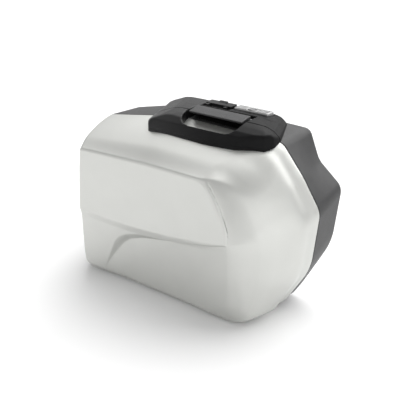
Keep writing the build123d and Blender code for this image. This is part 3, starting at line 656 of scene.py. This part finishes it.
def build_base():
    """The dark base as one closed shell."""
    tip = np.array((-10.0, BACK_Y, 180.0))
    inner_tip = tip - (0, WALL, 0)
    outer = base_outer_rings()
    back = shrink_to(flattened(outer[-1], tip[1]), tip, BACK_RINGS)
    back = [back_flutes(tapered(ring, 0.0)) for ring in back]
    inside = base_inner_rings()
    inner_back = shrink_to(flattened(inside[0], inner_tip[1]), inner_tip, INNER_BACK_RINGS)
    inner_back = [tapered(ring, WALL) for ring in inner_back]
    made = shell_object("base_skin", inner_back[::-1] + inside + outer + back, BASE_PLASTIC, tip, inner_tip)
    cut_holes(made, BASE_HOLES.values())
    placed(made, "base", "base_plastic", "base_shell")


build_base()

# The seal's section as depth behind the seam and inset: a bulb, a notch and a lip
SEAL_SECTION = [
    (4.9, 3.7), (1.4, 3.7), (0.6, 3.9), (0.2, 4.4), (0.2, 5.1), (0.7, 5.7), (1.9, 5.9),
    (1.9, 6.5), (0.9, 6.8), (0.3, 7.2), (0.5, 7.5), (1.6, 7.5), (4.9, 7.5),
]


def build_seal():
    """The rubber seal that lies in the base's channel and meets the lid's frame."""
    rings = [base_wall.at(depth, inset) + (0, SEAM, 0) for depth, inset in SEAL_SECTION]
    faces = ring_faces(0, len(rings[0]), len(rings), closed=True)
    made = mesh_object("seal_lips", np.vstack(rings), faces, RUBBER)
    face_outward(made.data)
    placed(made, "base", "rubber", "rim_seal")


build_seal()

# ---------------------------------------------------------------- solids from distance fields


def polygon_distance(a, b, points):
    """Signed distance from places (a, b) to a polygon, negative inside."""
    a, b = np.broadcast_arrays(a, b)
    nearest = np.full(a.shape, 1e9)
    sign = np.ones(a.shape)
    points = np.array(points, float)
    for (a0, b0), (a1, b1) in zip(points, np.roll(points, -1, 0)):
        da, db = a1 - a0, b1 - b0
        t = np.clip(((a - a0) * da + (b - b0) * db) / (da**2 + db**2), 0, 1)
        nearest = np.minimum(nearest, (a - a0 - t * da) ** 2 + (b - b0 - t * db) ** 2)
        if db:
            crossed = ((b0 <= b) != (b1 <= b)) & (a < a0 + da * (b - b0) / db)
            sign = np.where(crossed, -sign, sign)
    return sign * np.sqrt(nearest)


def both(a, b, soft=0.0):
    """Where two fields overlap, with the edge between them rounded."""
    if not soft:
        return np.maximum(a, b)
    return np.maximum(a, b) + np.clip(soft - np.abs(a - b), 0, None) ** 2 / (4 * soft)


def less(a, b, soft=0.0):
    """A field with another taken from it."""
    return both(a, -b, soft)


def block(place, low, high, radius=0.0):
    """Distance to a box between two corners, with rounded edges."""
    low, high = np.array(low, float), np.array(high, float)
    past = [np.abs(p - (a + b) / 2) - (b - a) / 2 + radius for p, a, b in zip(place, low, high)]
    outside = np.sqrt(sum(np.maximum(p, 0) ** 2 for p in past))
    return outside + np.minimum(np.maximum(np.maximum(past[0], past[1]), past[2]), 0) - radius


def grid(low, high, pitch):
    """Open coordinate arrays over a box."""
    return np.ix_(*[np.arange(a, b + pitch, pitch) for a, b in zip(low, high)])


def field_object(name, field, low, pitch, material):
    """A mesh over the zero level of a field, with one corner in each cell that it crosses."""
    inside = field < 0
    cells = tuple(n - 1 for n in field.shape)
    total = np.zeros((*cells, 3))
    crossings = np.zeros(cells)
    for axis in range(3):
        others = [k for k in range(3) if k != axis]
        for i in (0, 1):
            for j in (0, 1):
                start = [0, 0, 0]
                start[others[0]], start[others[1]] = i, j
                near = tuple(slice(s, s + n) for s, n in zip(start, cells))
                start[axis] = 1
                far = tuple(slice(s, s + n) for s, n in zip(start, cells))
                crossed = inside[near] != inside[far]
                share = np.where(crossed, field[near] / np.where(crossed, field[near] - field[far], 1), 0)
                total[..., axis] += share
                total[..., others[0]] += i * crossed
                total[..., others[1]] += j * crossed
                crossings += crossed
    active = crossings > 0
    number = np.cumsum(active.ravel()).reshape(cells) - 1
    corner = np.stack(np.nonzero(active), 1)
    vertices = (corner + total[active] / crossings[active][:, None]) * pitch + np.array(low)
    faces = []
    for axis in range(3):
        b, c = [(1, 2), (2, 0), (0, 1)][axis]
        low_end = [slice(1, n) for n in cells]
        low_end[axis] = slice(0, cells[axis])
        high_end = list(low_end)
        high_end[axis] = slice(1, cells[axis] + 1)
        first, second = inside[tuple(low_end)], inside[tuple(high_end)]
        for way in (True, False):
            at = np.stack(np.nonzero((first != second) & (first == way)), 1)
            at += [0 if k == axis else 1 for k in range(3)]
            around = [(0, 0), (1, 0), (1, 1), (0, 1)]
            if not way:
                around = around[::-1]
            quad = []
            for i, j in around:
                where = at.copy()
                where[:, b] -= 1 - i
                where[:, c] -= 1 - j
                quad.append(number[tuple(where.T)])
            faces += np.stack(quad, 1).tolist()
    return mesh_object(name, vertices, faces, material)


def top_of(wall):
    """A function that reads the height of a shell's top at x and depth."""
    spacing = 4.0
    xs = np.arange(-300, 300, spacing)
    table = []
    for ring in wall.rings:
        upper = ring[ring[:, 1] > 240]
        order = np.argsort(upper[:, 0])
        table.append(np.interp(xs, upper[order, 0], upper[order, 1]))
    table = np.array(table)

    def read(x, depth):
        row = np.clip(depth / wall.depths[-1], 0, 1) * (len(table) - 1)
        low = np.minimum(row.astype(int), len(table) - 2)
        share = row - low
        at = np.clip(((x - xs[0]) / spacing).astype(int), 0, len(xs) - 2)
        step_in = (x - xs[at]) / spacing
        near = table[low, at] * (1 - step_in) + table[low, at + 1] * step_in
        far = table[low + 1, at] * (1 - step_in) + table[low + 1, at + 1] * step_in
        return near * (1 - share) + far * share

    return read


# ---------------------------------------------------------------- handle block

# Here and in the pieces below, places are x, distance behind the seam, and height. The handle is what
# its outlines have in common, seen from above, from the front and from its end.
HANDLE_PLAN = [
    (-81, -53), (-20, -58), (60, -59), (130, -50), (182, -34), (193, -20), (196, 2), (199, 48),
    (190, 70), (154, 88), (-150, 88), (-126, 40), (-113, 0), (-95, -38),
]
HANDLE_LONG = [
    (-113, 300), (-113, 349), (-95, 358), (-60, 371), (-40, 376), (-18, 378), (140, 378),
    (163, 375), (180, 369), (192, 360), (200, 344), (202, 300),
]
HANDLE_ACROSS = [
    (-60, 300), (-58, 334), (-54, 345), (-45, 361), (-35, 367), (-18, 372.5), (-4, 376),
    (14, 377.6), (34, 378), (88, 373), (88, 300),
]
# How far the outline from the front moves along with the distance behind the seam
HANDLE_SLANT = 0.42
HAND_HOLE = [
    (15, -43.5), (100, -43.5), (108, -41.5), (114, -37), (118, -29), (119, -18), (118, 37),
    (-19, 37), (-19, -8), (-15, -24), (-9, -34), (2, -41),
]
# The recesses for the thumb lever and the lock, as two corners and a radius
LEVER_BAY = ((-20, 40, 366), (48, 76, 400), 3.0)
LOCK_BAY = ((51.4, 51.4, 366.5), (132.6, 76.6, 400), 3.0)
# Three corners of the flat that cuts the front left
FACET = ((-60, -41, 361.4), (-8, -40.5, 362.2), (-16, -33, 367.2))


def plane_field(place, corners):
    """Distance above a plane through three corners."""
    p0, p1, p2 = (np.array(c, float) for c in corners)
    out = np.cross(p1 - p0, p2 - p0)
    out /= np.linalg.norm(out) * (1 if out[2] > 0 else -1)
    return sum((p - c) * n for p, c, n in zip(place, p0, out))


def handle_form(place):
    """The handle's outer form, before the openings."""
    x, y, z = place
    plan = polygon_distance(x, y, HANDLE_PLAN)
    along = polygon_distance(x + HANDLE_SLANT * y, z, HANDLE_LONG)
    across = polygon_distance(y, z, HANDLE_ACROSS)
    form = both(both(across, along, 5.0), plan, 7.0)
    form = both(form, plane_field(place, FACET), 0.8)
    thumb_dish = np.sqrt((x - 152) ** 2 + (y - 50) ** 2 + (z - 411) ** 2) - 40
    form = less(form, thumb_dish, 2.5)
    # a lip at the foot of the front and the shadow line above it
    foot = np.abs(z - 341 - 0.02 * (x - 50)) - 0.8
    return less(form, both(foot, -(form + 0.9)), 0.3)


HANDLE_PITCH = 1.25
# Half the gap between the two halves, and how far they sink into the shells' tops
SPLIT_HALF = GAP + 0.15
SEAT_SINK = 1.2


def add_field(name, body, slot, material, form, low, pitch, nodes):
    """Mesh a field, move it behind the seam and place it on a body."""
    made = field_object(name, form, low, pitch, material)
    made.data.transform(Matrix.Translation((0, SEAM * MM, 0)))
    placed(made, body, slot, *nodes)


def field_piece(name, body, slot, material, field_of, low, high, pitch, nodes=()):
    """A piece from a field over a box, riding on a body."""
    add_field(name, body, slot, material, field_of(grid(low, high, pitch)), low, pitch, nodes)


def build_handle():
    """The two halves of the handle block, split at the seam and seated on the shells."""
    for name, body, node, low, high, wall, way in (
        ("handle_nose", "lid", "handle_front", (-124, -64, 322), (204, 3, 384), lid_wall, -1),
        ("handle_body", "base", "handle_housing", (-156, -3, 322), (206, 93, 384), base_wall, 1),
    ):
        place = grid(low, high, HANDLE_PITCH)
        x, y, z = place
        form = handle_form(place)
        form = less(form, polygon_distance(x, y, HAND_HOLE), 3.0)
        seat = top_of(wall)(x, np.maximum(way * y, 0)) - SEAT_SINK
        form = both(form, seat - z)
        form = both(form, SPLIT_HALF - way * y, 1.2)
        if way > 0:
            form = less(form, block(place, *LEVER_BAY), 1.5)
            form = less(form, block(place, *LOCK_BAY), 1.2)
        add_field(name, body, "handle_plastic", HANDLE_PLASTIC, form, low, HANDLE_PITCH, [node])


build_handle()

BAR_SECTION = [
    (-13.5, 376), (-11, 377.6), (10, 378), (28, 378), (31.5, 375), (31, 366.5), (6, 366.5), (-8, 372),
]


def bar_field(place):
    """The grip bar: skewed ends, a rounded front, and fine lines along its top."""
    x, y, z = place
    section = polygon_distance(y, z, BAR_SECTION)
    ends = np.maximum(-9.5 - 0.25 * (y + 9) - x, x - 117 + 0.19 * (y + 11))
    lines = 0.28 * np.cos(2 * math.pi * y / 3.4) * step(z, 374, 376.5)
    return both(section + lines, ends, 2.0)


field_piece("grip_handle", "grip", "handle_plastic", BAR_PLASTIC, bar_field,
            (-26, -17, 362), (126, 36, 381), 0.75, ["grip_bar"])


def comb_field(place):
    """Upright ribs on the front of the finger well."""
    x, y, z = place
    rib = np.abs((x + 1.0) % 4.4 - 2.2) - 0.75
    tall = both(np.abs(y - 10.5) - 3.4, np.abs(z - 356) - 7.0)
    return both(both(rib, tall, 0.6), both(-2 - x, x - 124))


field_piece("well_ribs", "base", "handle_plastic", HANDLE_PLASTIC, comb_field,
            (-4, 5, 346), (127, 16, 365), 0.6)


# The middle of the lock's plug
PLUG_X, PLUG_Y = 88, 64


def lock_field(place):
    """The lock's housing: a seat for the plug, and grooves beside it for the thumb."""
    x, y, z = place
    form = block(place, (52.2, 52.2, 367.4), (131.8, 75.8, 380.3), 3.0)
    from_plug = np.sqrt((x - PLUG_X) ** 2 + (y - PLUG_Y) ** 2)
    form = less(form, from_plug - 8.5, 1.0)
    form = less(form, both(from_plug - 11.0, 379.2 - z), 0.6)
    across = both(376.8 - z, np.abs(y - PLUG_Y) - 9)
    grooves = both(np.abs((x - 104) % 5.6 - 2.8) - 1.0, across, 0.5)
    return less(form, both(grooves, both(104 - x, x - 127)), 0.6)


field_piece("lock_housing", "base", "lock_metal", LOCK_METAL, lock_field,
            (50, 50, 366), (134, 78, 382), 0.7, ["lock_body"])

# ---------------------------------------------------------------- luggage strap inside the base

# The strap's middle as distance behind the seam and height, half its width, and its two ends
STRAP_Y = 91.2
STRAP_Z = 255.0
STRAP_HALF = 12.5
STRAP_ENDS = (22, 214)
# From here on the band is folded over, and how much thicker that makes it
FOLD_X = 186
FOLD = 0.5
# The strap's two rows of stitches, how far apart the stitches are, and their thread's radius
STITCH_X = (189.5, 193.5)
STITCH_STEP = 2.6
THREAD_RADIUS = 0.28


def strap_point(x, z):
    """Where the strap's middle layer lies, a little wavy between its buckle and anchors."""
    return STRAP_Y - 0.35 * math.sin(x / 17.0) * math.cos(z / 9.0) - 0.25


def build_band(side, way):
    """One half of the strap, with thick woven edges."""
    around, stations = 24, 120
    verts = []
    for x in np.linspace(way * STRAP_ENDS[0], way * STRAP_ENDS[1], stations):
        for turn in 2 * math.pi * np.arange(around) / around:
            across = np.sign(math.cos(turn)) * abs(math.cos(turn)) ** 0.35
            thick = 0.62 + 0.16 * abs(across) ** 8 + (FOLD if abs(x) > FOLD_X else 0.0)
            z = STRAP_Z + STRAP_HALF * across
            verts.append((x, SEAM + strap_point(x, z) + thick * math.sin(turn), z))
    band = mesh_object(f"strap_band_{side}", verts, ring_faces(0, around, stations, closed=False), WEBBING)
    face_outward(band.data)
    placed(band, "base", "webbing", f"luggage_strap_{side}")


def build_stitches(side, way):
    """The stitches that hold the strap's folded end, each a short thread that bows up in its middle."""
    along, around = (-0.9, -0.3, 0.3, 0.9), 6
    verts, faces = [], []
    for x in STITCH_X:
        for z in np.arange(STRAP_Z - 10.5, STRAP_Z + 10.6, STITCH_STEP):
            y = SEAM + strap_point(way * x, z) - 1.15
            faces += ring_faces(len(verts), around, len(along), closed=False)
            for dz in along:
                lift = THREAD_RADIUS * (1 - dz**2)
                for turn in math.pi / 3 * np.arange(around):
                    up = THREAD_RADIUS * math.sin(turn) - lift
                    verts.append((way * x + THREAD_RADIUS * math.cos(turn), y + up, z + dz))
    stitches = mesh_object(f"strap_stitches_{side}", verts, faces, THREAD)
    face_outward(stitches.data)
    placed(stitches, "base", "webbing")


for side, way in (("left", -1), ("right", 1)):
    build_band(side, way)
    build_stitches(side, way)


def buckle_field(place):
    """A side-release buckle: a body with two prongs' windows and a ridged middle."""
    x, y, z = place
    form = block(place, (-25.6, 85.9, 238.0), (25.6, 93.2, 272.0), 2.6)
    form = less(form, both(np.abs(x + 4) - 7.0, 14.0 - np.abs(z - STRAP_Z)), 1.5)
    ribs = both(np.abs((z - STRAP_Z) % 3.2 - 1.6) - 0.7, both(y - 86.6, np.abs(x - 14) - 6.0))
    form = less(form, ribs, 0.4)
    slots = both(np.abs(np.abs(x) - 21.5) - 1.3, both(np.abs(z - STRAP_Z) - 13.4, y - 88.4))
    return less(form, slots, 0.6)


# How far the anchors' screws are from the strap's middle
SCREW_X = 224.5


def anchor_field(place):
    """The strap's two anchors: a loop plate with a screw recess at its outer end."""
    x, y, z = place
    far = np.abs(x)
    form = block((far, y, z), (210.4, 89.2, 238.8), (231.6, 94.0, 271.2), 3.2)
    form = less(form, block((far, y, z), (213.2, 85.0, 242.0), (216.6, 92.4, 268.0), 1.2), 0.8)
    from_screw = np.abs(far - SCREW_X), np.abs(z - STRAP_Z)
    form = less(form, both(np.hypot(*from_screw) - 4.2, y - 91.0), 0.6)
    arms = [both(a - 0.6, b - 2.4) for a, b in (from_screw, from_screw[::-1])]
    return less(form, both(np.minimum(*arms), y - 92.2), 0.2)


field_piece("buckle", "base", "handle_plastic", HANDLE_PLASTIC, buckle_field,
            (-28, 84, 236), (28, 95, 274), 0.55, ["strap_buckle"])
for side, low_x, high_x in (("left", -234, -208), ("right", 208, 234)):
    field_piece(f"strap_anchor_{side}", "base", "handle_plastic", HANDLE_PLASTIC, anchor_field,
                (low_x, 88, 237), (high_x, 95.5, 273), 0.55, ["strap_anchors"] if side == "left" else [])

# ---------------------------------------------------------------- camera, floor and lights

AZIMUTH, ELEVATION = math.radians(38), math.radians(25)
TARGET = Vector((34, 18, 171)) * MM
DISTANCE = 1.305
LENS = 54.26
# Half the floor's side, in metres
FLOOR_HALF = 9
back_of_view = Vector((
    math.sin(AZIMUTH) * math.cos(ELEVATION),
    -math.cos(AZIMUTH) * math.cos(ELEVATION),
    math.sin(ELEVATION),
))
camera = bpy.data.objects.new("camera", bpy.data.cameras.new("camera"))
camera.data.lens = LENS
camera.data.sensor_width = 36.0
camera.data.clip_end = 50.0
camera.location = TARGET + back_of_view * DISTANCE
camera.rotation_euler = back_of_view.to_track_quat("Z", "Y").to_euler()
bpy.context.scene.collection.objects.link(camera)
bpy.context.scene.camera = camera

floor_mesh = bpy.data.meshes.new("floor")
floor_corners = [(x * FLOOR_HALF, y * FLOOR_HALF, 0) for x, y in ((-1, -1), (1, -1), (1, 1), (-1, 1))]
floor_mesh.from_pydata(floor_corners, [], [(0, 1, 2, 3)])
floor = bpy.data.objects.new("floor", floor_mesh)
bpy.context.scene.collection.objects.link(floor)
floor_paint, _, floor_shader = new_material("floor_paint")
floor_shader.inputs["Base Color"].default_value = (0.93, 0.93, 0.93, 1)
floor_shader.inputs["Roughness"].default_value = 0.9
floor_shader.inputs["Specular IOR Level"].default_value = 0.1
floor_mesh.materials.append(floor_paint)

world = bpy.data.worlds.new("studio")
bpy.context.scene.world = world
world.use_nodes = True
sky_tree = world.node_tree
sky_place = sky_tree.nodes.new("ShaderNodeTexCoord")
sky_split = sky_tree.nodes.new("ShaderNodeSeparateXYZ")
sky_tree.links.new(sky_place.outputs["Generated"], sky_split.inputs["Vector"])
sky_tree.links.new(
    ramp(sky_tree, sky_split.outputs["Z"], (0.95, 0.95, 0.95), (0.56, 0.56, 0.56), 0.1, 0.8),
    sky_tree.nodes["Background"].inputs["Color"],
)
sky_tree.nodes["Background"].inputs["Strength"].default_value = 0.7


def softbox(name, place, size, power, target=(0, 0, 0.15)):
    """An area light that points at the object."""
    made = bpy.data.objects.new(name, bpy.data.lights.new(name, "AREA"))
    made.data.shape = "RECTANGLE"
    made.data.size, made.data.size_y = size
    made.data.energy = power
    made.location = place
    made.rotation_euler = (Vector(place) - Vector(target)).to_track_quat("Z", "Y").to_euler()
    bpy.context.scene.collection.objects.link(made)


softbox("nose_light", (3.0, -1.6, 1.2), (3.4, 2.6), 24)
softbox("front_light", (-1.6, -2.6, 1.7), (2.4, 2.0), 10)
softbox("back_light", (-0.75, 0.75, 1.25), (1.2, 0.7), 4.5)
sky = bpy.data.objects.new("sky_light", bpy.data.lights.new("sky_light", "SUN"))
sky.data.energy = 3.1
sky.data.angle = math.radians(75)
sky.rotation_euler = (math.radians(-36), math.radians(10), 0)
bpy.context.scene.collection.objects.link(sky)
bpy.context.scene.view_settings.view_transform = "Standard"
